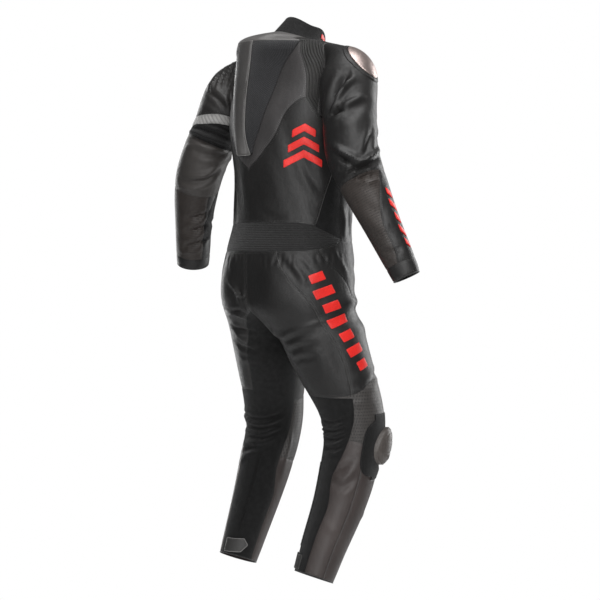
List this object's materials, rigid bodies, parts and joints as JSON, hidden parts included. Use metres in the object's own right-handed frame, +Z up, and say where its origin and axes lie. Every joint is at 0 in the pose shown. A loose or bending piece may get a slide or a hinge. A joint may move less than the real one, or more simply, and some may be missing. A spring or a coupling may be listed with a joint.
{
  "type": "motorcycle race suit",
  "caption": "One-piece leather race suit with an aero back hump, stretch panels, knee sliders and a front zip, filled out as worn and hollow inside.",
  "frame": {"origin": "on the suit's middle plane at shoulder height, inside the neck, where a wearer or a hanger holds it", "axes": "+Z up, towards the collar; the front faces -Y; the wearer's left arm is towards +X"},
  "size_m": [0.9199, 0.3274, 1.4292],
  "materials": {
    "leather": "satin full grain",
    "grey_leather": "satin full grain",
    "brown_leather": "perforated, matte",
    "mesh": "open knit mesh",
    "stretch": "ribbed stretch weave",
    "rib": "ribbed",
    "silver": "satin",
    "collar": "soft knit",
    "plate": "brushed",
    "hook_loop": "hook and loop pile",
    "slider": "satin",
    "zip": "woven tape",
    "zip_metal": "dark"
  },
  "bodies": {
    "suit": {"accordion_left": "rib", "accordion_right": "rib", "ankle_tab_left": "grey_leather", "ankle_tab_right": "grey_leather", "back_centre": "leather", "band_left": "silver", "calf_zip_left": "zip", "calf_zip_right": "zip", "chest_left": "leather", "chest_right": "leather", "collar": "collar", "cuff_left": "leather", "cuff_right": "leather", "elbow_left": "leather", "elbow_right": "leather", "forearm_back_left": "brown_leather", "forearm_back_right": "brown_leather", "forearm_front_left": "leather", "forearm_front_right": "leather", "forearm_stretch_left": "stretch", "forearm_stretch_right": "stretch", "front_left": "leather", "front_right": "leather", "hump_cap": "grey_leather", "hump_mesh_left": "mesh", "hump_mesh_right": "mesh", "hump_strip": "grey_leather", "inner_stretch_left": "stretch", "inner_stretch_right": "stretch", "knee_base_left": "hook_loop", "knee_base_right": "hook_loop", "knee_left": "brown_leather", "knee_puck_left": "slider", "knee_puck_right": "slider", "knee_right": "brown_leather", "lower_back": "leather", "seat_left": "leather", "seat_right": "leather", "shin_front_left": "grey_leather", "shin_front_right": "grey_leather", "shin_outer_left": "brown_leather", "shin_outer_right": "brown_leather", "shoulder_plate_left": "plate", "shoulder_plate_right": "plate", "side_left": "stretch", "side_right": "stretch", "sleeve_inner_right": "leather", "sleeve_stretch_left": "stretch", "sleeve_upper_left": "leather", "sleeve_upper_right": "leather", "thigh_front_left": "leather", "thigh_front_right": "leather", "thigh_outer_left": "leather", "thigh_outer_right": "leather", "waist_rib": "rib", "wing_left": "grey_leather", "wing_right": "grey_leather", "zip_slider": "zip_metal", "zip_tape": "zip"},
    "pull": {"zip_pull": "zip_metal"}
  },
  "joints": [
    {"name": "pull_hinge", "type": "hinge", "parent": "suit", "child": "pull", "pos_m": [0, -0.1135, -0.07548], "axis": [-1, 0, 0], "range_deg": [0, 150]}
  ]
}
